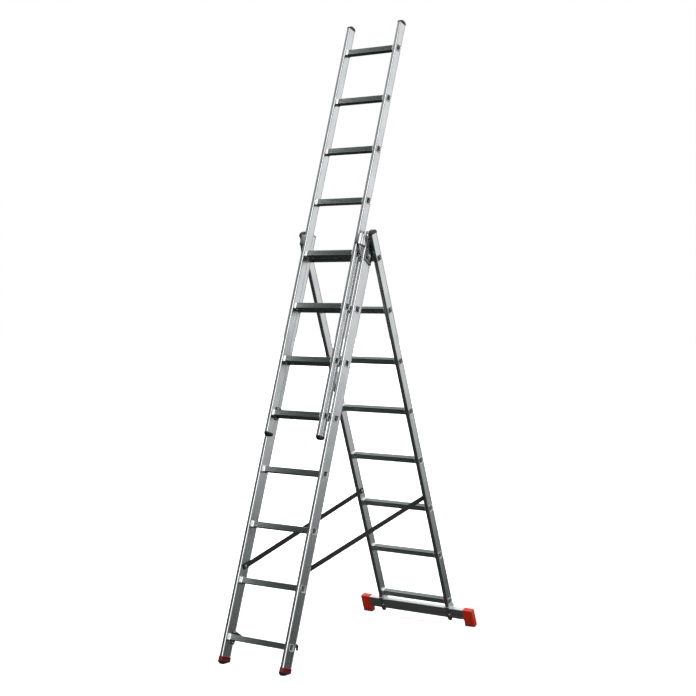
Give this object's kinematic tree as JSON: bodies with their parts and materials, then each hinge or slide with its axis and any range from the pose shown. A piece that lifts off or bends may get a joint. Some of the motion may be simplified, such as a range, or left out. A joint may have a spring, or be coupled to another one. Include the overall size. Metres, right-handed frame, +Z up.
{
  "type": "combination ladder",
  "caption": "Combination ladder stood as a stepladder on a stabiliser bar, with a narrower top section raised above the hinge and held by hooks, guides and spreader straps.",
  "frame": {"origin": "on the floor, in the middle of the whole ladder's plan box", "axes": "+X to the climber's right, +Y from the climbing side to the rear legs, +Z up"},
  "size_m": [0.74, 1.4698, 3.2106],
  "materials": {
    "stile_aluminium": "mill-finish extruded aluminium box section",
    "rung_aluminium": "extruded aluminium tread tube with lengthwise grooves",
    "bar_aluminium": "mill-finish rectangular aluminium tube",
    "guide_aluminium": "bright extruded guide with lengthwise grooves",
    "plate_steel": "dark grey pressed steel plate",
    "saddle_steel": "bright zinc-plated saddle",
    "fastener_steel": "zinc plated rivets, bolts and studs",
    "black_plastic": "moulded black plastic",
    "grey_plastic": "moulded dark grey plastic",
    "orange_plastic": "moulded orange-red plastic",
    "foot_plastic": "dark red moulded foot with a black sole",
    "webbing": "woven black webbing"
  },
  "bodies": {
    "front_section": {"front_bolts": "fastener_steel", "front_foot_left": "foot_plastic", "front_foot_right": "foot_plastic", "front_hinge_left": "plate_steel", "front_hinge_right": "plate_steel", "front_hook_left": "plate_steel", "front_hook_right": "plate_steel", "front_rivets": "fastener_steel", "front_rung_1": "rung_aluminium", "front_rung_2": "rung_aluminium", "front_rung_3": "rung_aluminium", "front_rung_4": "rung_aluminium", "front_rung_5": "rung_aluminium", "front_rung_6": "rung_aluminium", "front_rung_7": "rung_aluminium", "front_rung_8": "rung_aluminium", "front_stile_left": "stile_aluminium", "front_stile_right": "stile_aluminium", "front_upper_caps": "black_plastic", "guide_left": "guide_aluminium", "guide_right": "guide_aluminium", "hinge_studs": "fastener_steel", "strap_left": "webbing", "strap_right": "webbing"},
    "rear_section": {"rear_bolts": "fastener_steel", "rear_hinge_left": "plate_steel", "rear_hinge_right": "plate_steel", "rear_rivets": "fastener_steel", "rear_rung_1": "rung_aluminium", "rear_rung_2": "rung_aluminium", "rear_rung_3": "rung_aluminium", "rear_rung_4": "rung_aluminium", "rear_rung_5": "rung_aluminium", "rear_rung_6": "rung_aluminium", "rear_rung_7": "rung_aluminium", "rear_rung_8": "rung_aluminium", "rear_stile_left": "stile_aluminium", "rear_stile_right": "stile_aluminium", "rear_upper_caps": "grey_plastic", "stabiliser_bar": "bar_aluminium", "stabiliser_cap_left": "orange_plastic", "stabiliser_cap_right": "orange_plastic", "stabiliser_saddles": "saddle_steel"},
    "top_section": {"top_hook_left": "plate_steel", "top_hook_right": "plate_steel", "top_lower_caps": "black_plastic", "top_rivets": "fastener_steel", "top_rung_1": "rung_aluminium", "top_rung_2": "rung_aluminium", "top_rung_3": "rung_aluminium", "top_rung_4": "rung_aluminium", "top_rung_5": "rung_aluminium", "top_rung_6": "rung_aluminium", "top_rung_7": "rung_aluminium", "top_rung_8": "rung_aluminium", "top_stile_left": "stile_aluminium", "top_stile_right": "stile_aluminium", "top_upper_caps": "black_plastic"}
  },
  "joints": [
    {"name": "fold", "type": "hinge", "parent": "front_section", "child": "rear_section", "pos_m": [0, -0.04851, 1.98335], "axis": [-1, 0, 0], "range_deg": [0, 37.5], "deforming": ["strap_left", "strap_right"]},
    {"name": "extend", "type": "slide", "parent": "front_section", "child": "top_section", "axis": [0, 0.314, 0.9494], "range_m": [-1.12, 0]}
  ]
}
